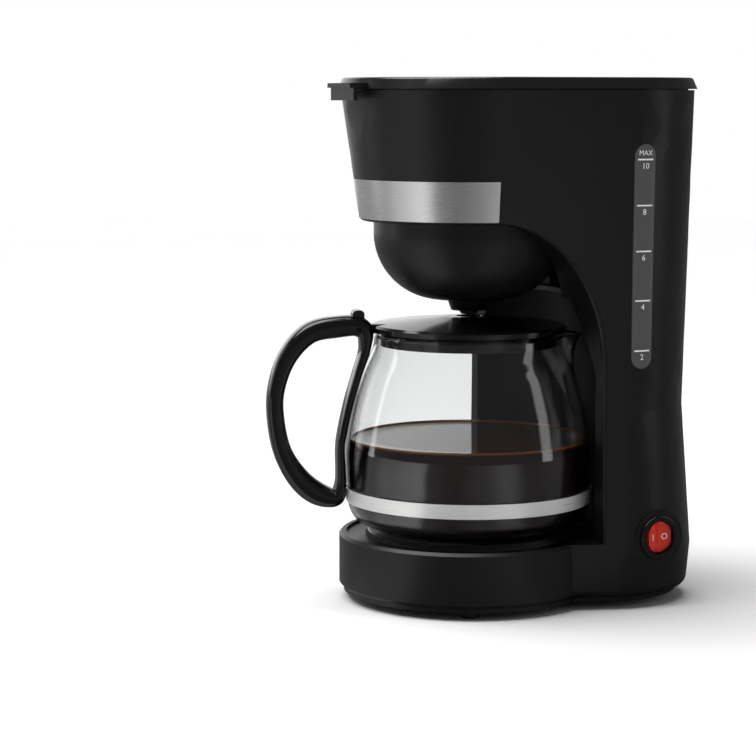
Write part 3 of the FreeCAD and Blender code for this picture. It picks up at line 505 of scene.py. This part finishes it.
# ---------------------------------------------------------------- lid and shower arm
# The lid is moulded in the same black, a little glossier at its rim, with a lift tab at the front.
# It turns on pins in knuckles at the back. The shower arm clips under it and spreads the water.
lid_black = moulded("lid_black", (0.0065, 0.0065, 0.007), 0.2, grain=0.06, scale=1300.0,
                    Specular_IOR_Level=0.6)
dressed("top_lid", lid_black)
dressed("shower_channel", inner_black)
paint("lid_hinge_pins", zinc)
head_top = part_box("top_lid")[1].z - 0.0066


def head_outline(inset, count):
    """The head's outline, moved in: an arc at the front, two round back corners, and straight runs between.
    Each arc is a circle's sweep between the angles where a straight run meets it squarely."""
    front, corner = 0.0692 - inset, 0.050 - inset
    cx, cy = 0.077 - 0.050, 0.116 - 0.050
    meet = math.atan2(cy, cx) - math.acos((front - corner) / math.hypot(cx, cy))
    fore = np.linspace(-math.pi - meet, meet, count)
    right = np.linspace(meet, math.pi / 2, count)
    left = np.linspace(math.pi / 2, math.pi - meet, count)
    arc = np.column_stack([front * np.cos(fore), front * np.sin(fore)])
    far = np.column_stack([cx + corner * np.cos(right), cy + corner * np.sin(right)])
    near = np.column_stack([-cx + corner * np.cos(left), cy + corner * np.sin(left)])
    return np.vstack([arc, far, near])


lip_low, lip_high = head_top - 0.0022, head_top + 0.0010
ring_out, ring_in = head_outline(0.0033, 40), head_outline(0.0043, 40)
lip_rows = [(ring_out, lip_low), (ring_out, lip_high), (ring_in, lip_high), (ring_in, lip_low)]
lip_points = np.stack([np.column_stack([ring + np.array(axis.xy), np.full(len(ring), level)])
                       for ring, level in lip_rows])


def grid_mesh(name, rows, close_rows=False, poles=(None, None)):
    """A mesh from a grid of points: rows by columns, closed round each row.
    A pole, where one is given, closes the first or the last row with a fan."""
    n_rows, n_cols = rows.shape[:2]
    points = rows.reshape(-1, 3)
    r = np.arange(n_rows if close_rows else n_rows - 1)[:, None]
    c = np.arange(n_cols)[None, :]
    r2 = (r + 1) % n_rows
    c2 = (c + 1) % n_cols
    quads = np.stack([r * n_cols + c, r * n_cols + c2, r2 * n_cols + c2, r2 * n_cols + c], axis=-1)
    faces = quads.reshape(-1, 4).tolist()
    col = np.arange(n_cols)
    for row, pole, turn in ((0, poles[0], -1), (n_rows - 1, poles[1], 1)):
        if pole is not None:
            points = np.vstack([points, [pole]])
            top = np.full(n_cols, len(points) - 1)
            fan = np.stack([row * n_cols + col, row * n_cols + (col + 1) % n_cols, top], axis=-1)
            faces += (fan if turn > 0 else fan[:, ::-1]).tolist()
    mesh = bpy.data.meshes.new(name)
    mesh.from_pydata(points.tolist(), [], faces)
    mesh.update()
    mesh.shade_smooth()
    return mesh


def add_piece(name, mesh, material, body, slot, *stands_for):
    """Puts a finished mesh in the scene as a piece that rides on a body."""
    mesh.materials.append(material)
    piece = bpy.data.objects.new(name, mesh)
    bpy.context.scene.collection.objects.link(piece)
    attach(piece, body)
    if stands_for:
        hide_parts(*stands_for)
    return piece


lip_mesh = grid_mesh("lid_lip", lip_points, close_rows=True)
lip_mesh.set_sharp_from_angle(angle=math.radians(40))
add_piece("lid_lip", lip_mesh, inner_black, "top_lid", "lid")

# ---------------------------------------------------------------- filter basket
# A ribbed cone hangs in the bowl by its flange, with a bail handle over its rim.
# A fine gold coloured nylon mesh lines the cone.


def woven_mesh():
    """A gold mesh: fine cells, dark in their middles, stand for the holes between the threads."""
    material, tree, shader = node_material("woven_mesh")
    nodes, links = tree.nodes, tree.links
    place = nodes.new("ShaderNodeTexCoord")
    cell = nodes.new("ShaderNodeTexVoronoi")
    cell.inputs["Scale"].default_value = 1400.0
    shade = nodes.new("ShaderNodeValToRGB")
    shade.color_ramp.elements[0].color = (0.10, 0.06, 0.015, 1)
    shade.color_ramp.elements[1].color = (0.72, 0.50, 0.18, 1)
    bump = nodes.new("ShaderNodeBump")
    bump.inputs["Strength"].default_value = 0.5
    bump.inputs["Distance"].default_value = 0.0003
    links.new(place.outputs["Object"], cell.inputs["Vector"])
    links.new(cell.outputs["Distance"], shade.inputs["Fac"])
    links.new(shade.outputs["Color"], shader.inputs["Base Color"])
    links.new(cell.outputs["Distance"], bump.inputs["Height"])
    links.new(bump.outputs["Normal"], shader.inputs["Normal"])
    set_values(shader, Roughness=0.45, Metallic=0.6)
    return material


dressed("filter_basket", inner_black)
dressed("mesh_filter", woven_mesh())
dressed("basket_handle", inner_black)

# ---------------------------------------------------------------- drip valve
# A sprung plunger closes the bowl's outlet. The carafe's lid lifts it, and a silicone ring seals it.
dressed("valve_plunger", inner_black)
paint("valve_seal", grey_silicone)
paint("valve_spring", zinc)

# ---------------------------------------------------------------- glass carafe
# The jug is blown borosilicate glass with a two millimetre wall, a pulled pouring lip and a flat foot.
# It is one closed skin: down the outside and back up the inside, lip to lip.
glass_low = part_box("carafe_glass")[0]
foot_z = glass_low.z
wall = 0.002
neck_top = 0.144
spout_turn = math.radians(70.0)
side_steps = np.array([(0.0505, 0.0012), (0.0605, 0.0045), (0.0656, 0.0135), (0.0669, 0.033),
                       (0.0670, 0.044), (0.0655, 0.054), (0.0624, 0.069), (0.0576, 0.085),
                       (0.0522, 0.098), (0.0510, 0.106)])


def four_point(a, b, c, d, t):
    """Catmull-Rom blending: the cubic from b at 0 to c at 1 whose slopes come from its neighbours."""
    square = 2 * a - 5 * b + 4 * c - d
    cube = 3 * b - a - 3 * c + d
    return 0.5 * (2 * b + (c - a) * t + square * t ** 2 + cube * t ** 3)


def smooth_side(count):
    """A curve through the side's stations by Catmull-Rom blending, as radius and height above the foot."""
    ends = np.vstack([2 * side_steps[0] - side_steps[1], side_steps, 2 * side_steps[-1] - side_steps[-2]])
    run = np.linspace(0, len(side_steps) - 1 - 1e-9, count)
    cell = run.astype(int)
    t = (run - cell)[:, None]
    return four_point(ends[cell], ends[cell + 1], ends[cell + 2], ends[cell + 3], t)


def sheer(curve, depth):
    """The same curve moved inwards, square to itself, by a depth."""
    run = np.gradient(curve, axis=0)
    run /= np.linalg.norm(run, axis=1)[:, None]
    return curve + depth * np.column_stack([-run[:, 1], run[:, 0]])


def round_axis(profile, turns, lip=True):
    """A profile of radius and height turned about the jug's axis.
    The pouring lip adds a narrow bell of radius on the spout's side, growing towards the neck's top."""
    angle = np.linspace(0, 2 * np.pi, turns, endpoint=False) + spout_turn
    radius = profile[:, 0][:, None] * np.ones(turns)
    height = profile[:, 1][:, None] * np.ones(turns) + foot_z
    if lip:
        rise = np.clip((height - 0.119) / (neck_top - 0.119), 0, 1)
        off = (angle - spout_turn + np.pi) % (2 * np.pi) - np.pi
        radius = radius + 0.0125 * rise ** 1.5 * np.exp(-(off / 0.19) ** 2)
    return np.stack([axis.x + radius * np.cos(angle), axis.y + radius * np.sin(angle), height], axis=-1)


outside = smooth_side(90)
inside = sheer(outside, wall)
inside[:, 1] = np.maximum(inside[:, 1], wall)
foot_out = np.column_stack([np.linspace(0.004, 0.047, 8), np.zeros(8)])
foot_in = np.column_stack([np.linspace(0.004, 0.046, 8), np.full(8, wall)])
rim_angle = np.linspace(0, np.pi, 7)[1:-1]
rim_mid = (outside[-1] + inside[-1]) / 2
rim = rim_mid + np.column_stack([np.cos(rim_angle), np.sin(rim_angle)]) * wall / 2
outside[-1, 1] = inside[-1, 1] = neck_top - foot_z - wall / 2
rim[:, 1] = neck_top - foot_z - wall / 2 + np.sin(rim_angle) * wall / 2
skin = np.vstack([foot_out, outside, rim, inside[::-1], foot_in[::-1]])
glass, glass_tree, glass_shader = node_material("clear_glass")
set_values(glass_shader, Base_Color=(0.90, 0.91, 0.91, 1), Roughness=0.0, IOR=1.47, Transmission_Weight=1.0)
glass_wave = glass_tree.nodes.new("ShaderNodeTexNoise")
glass_wave.inputs["Scale"].default_value = 14.0
glass_wave.inputs["Detail"].default_value = 1.0
glass_place = glass_tree.nodes.new("ShaderNodeTexCoord")
glass_bump = glass_tree.nodes.new("ShaderNodeBump")
glass_bump.inputs["Strength"].default_value = 0.08
glass_bump.inputs["Distance"].default_value = 0.004
glass_tree.links.new(glass_place.outputs["Object"], glass_wave.inputs["Vector"])
glass_tree.links.new(glass_wave.outputs["Fac"], glass_bump.inputs["Height"])
glass_tree.links.new(glass_bump.outputs["Normal"], glass_shader.inputs["Normal"])
glass_mesh = grid_mesh("carafe_jug", round_axis(skin, 192),
                       poles=((axis.x, axis.y, foot_z), (axis.x, axis.y, foot_z + wall)))
add_piece("carafe_jug", glass_mesh, glass, "carafe", "glass", "carafe_glass")

# ---------------------------------------------------------------- coffee
# Brewed coffee stands in the jug a little over half full. It is nearly black, with a thin
# brown edge where it climbs the glass, and it goes with the jug.
fill_z = 0.0885
gap = 0.00012
wet = sheer(outside, wall + gap)
wet = wet[(wet[:, 1] > wall + 0.0004) & (wet[:, 1] < fill_z - foot_z)]
floor_z = wall + gap
side_end = wet[-1]
level = side_end[1] - 0.0012
climb = side_end - np.array([(0.0004, 0.0003), (0.0011, 0.0008), (0.0022, 0.0011)])
surface = np.vstack([climb, [(0.05, level), (0.03, level), (0.01, level)]])
body_of_coffee = np.vstack([[(0.01, floor_z), (0.03, floor_z), (0.046, floor_z)], wet, surface])
brew, brew_tree, brew_shader = node_material("coffee")
brew_place = brew_tree.nodes.new("ShaderNodeTexCoord")
brew_axis = brew_tree.nodes.new("ShaderNodeSeparateXYZ")
brew_height = brew_tree.nodes.new("ShaderNodeMapRange")
brew_height.inputs["From Min"].default_value = fill_z - 0.0022
brew_height.inputs["From Max"].default_value = fill_z - 0.0002
brew_shade = brew_tree.nodes.new("ShaderNodeValToRGB")
brew_shade.color_ramp.elements[0].color = (0.010, 0.0045, 0.0038, 1)
brew_shade.color_ramp.elements[1].color = (0.26, 0.085, 0.018, 1)
brew_links = brew_tree.links
brew_links.new(brew_place.outputs["Object"], brew_axis.inputs[0])
brew_links.new(brew_axis.outputs["Z"], brew_height.inputs["Value"])
brew_links.new(brew_height.outputs["Result"], brew_shade.inputs["Fac"])
brew_links.new(brew_shade.outputs["Color"], brew_shader.inputs["Base Color"])
set_values(brew_shader, Roughness=0.04, IOR=1.33)
brew_mesh = grid_mesh("coffee", round_axis(body_of_coffee, 128, lip=False),
                      poles=((axis.x, axis.y, foot_z + floor_z), (axis.x, axis.y, foot_z + level)))
add_piece("coffee", brew_mesh, brew, "carafe", "glass")

# ---------------------------------------------------------------- steel band, handle and jug lid
# A rolled steel band grips the jug and carries the handle, which is moulded in gloss black.
# The lid turns on a steel pin at the handle's top, and its thumb lever stands beside the pin.
band_steel = brushed("band_steel", (0.86, 0.86, 0.85), 0.22, 0.15, 0.45)
dressed("carafe_band", band_steel)
loop_steps = np.array([(58.5, 148, 5), (73, 148.5, 5.8), (87.5, 145, 5.5), (99, 132.5, 5),
                       (105, 115.5, 4.5), (105.5, 100, 4.6), (102, 82, 5), (94, 67.5, 6),
                       (84, 58.5, 6.2), (73.5, 55.8, 4.6), (70.3, 63, 2.8), (70.5, 82, 2.3),
                       (69, 93, 2.3), (65.6, 108, 2.3), (61, 123.5, 2.4), (57, 137, 3)]) / 1000
handle_half_width = 0.0085
handle_turn = math.radians(-90 - 20)


def closed_curve(points, count):
    """A closed curve through points by Catmull-Rom blending, evenly in the points' own order."""
    run = np.linspace(0, len(points), count, endpoint=False)
    cell = run.astype(int)
    t = (run - cell)[:, None]
    return four_point(*(points[(cell + k) % len(points)] for k in (-1, 0, 1, 2)), t)


def handle_loop(count, around, power=3.6):
    """A rounded box section carried round the handle's closed middle line.
    Its half thickness lies in the handle's plane, and its half width is the same all the way round."""
    line = closed_curve(loop_steps, count)
    run = np.roll(line[:, :2], -1, axis=0) - np.roll(line[:, :2], 1, axis=0)
    run /= np.linalg.norm(run, axis=1)[:, None]
    out = np.column_stack([-run[:, 1], run[:, 0]])
    turn = np.linspace(0, 2 * np.pi, around, endpoint=False)
    across = np.sign(np.cos(turn)) * np.abs(np.cos(turn)) ** (2 / power)
    along = np.sign(np.sin(turn)) * np.abs(np.sin(turn)) ** (2 / power)
    u = line[:, None, 0] + out[:, None, 0] * line[:, None, 2] * across
    z = line[:, None, 1] + out[:, None, 1] * line[:, None, 2] * across
    side = handle_half_width * along * np.ones_like(u)
    x = axis.x + u * math.cos(handle_turn) - side * math.sin(handle_turn)
    y = axis.y + u * math.sin(handle_turn) + side * math.cos(handle_turn)
    return np.stack([x, y, z], axis=-1)


grip_mesh = grid_mesh("carafe_grip", handle_loop(240, 40), close_rows=True)
add_piece("carafe_grip", grip_mesh, gloss_black, "carafe", "gloss_black", "carafe_handle")
dressed("carafe_lid", gloss_black)
black_pin = moulded("black_pin", (0.02, 0.02, 0.021), 0.3, grain=0.05, Metallic=1.0)
paint("lid_hinge_pin", black_pin)
